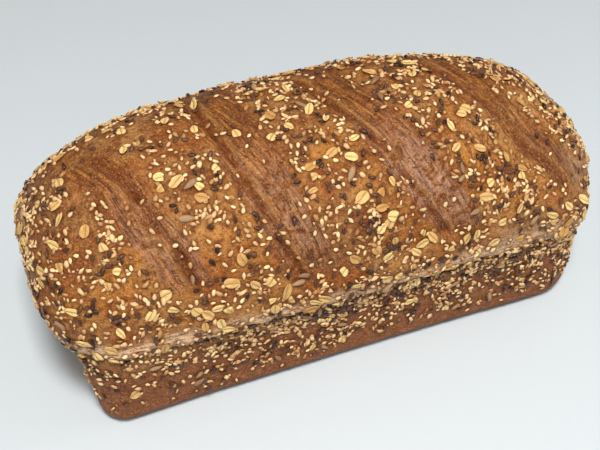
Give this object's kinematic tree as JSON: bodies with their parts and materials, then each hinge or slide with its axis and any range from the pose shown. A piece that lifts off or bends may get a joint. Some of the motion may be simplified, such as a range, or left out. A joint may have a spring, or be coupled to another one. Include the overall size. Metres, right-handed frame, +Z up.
{
  "type": "tin loaf",
  "caption": "Whole seeded wholemeal tin loaf: flat base and walls shaped by its tin, a lip at the rim and a crowned, slashed dome; stands on its base",
  "frame": {"origin": "on the surface that the loaf rests on, under the middle of the whole loaf", "axes": "+X along the loaf's length towards its slightly lower end, +Y across it, +Z up"},
  "size_m": [0.2874, 0.1224, 0.1325],
  "materials": {
    "crust": "baked wholemeal crust, golden to chestnut brown, satin on the dome and matt on the walls",
    "oat_flake": "toasted rolled oat flake, golden cream, dry and matt",
    "sesame": "hulled sesame seed, pale cream, slightly waxy",
    "linseed": "linseed, dark brown, glossy",
    "sunflower": "toasted hulled sunflower kernel, grey beige, satin",
    "grain_chip": "broken grain and bran, pale to orange, dry and matt"
  },
  "bodies": {
    "root": {"loaf": "crust"}
  },
  "joints": []
}
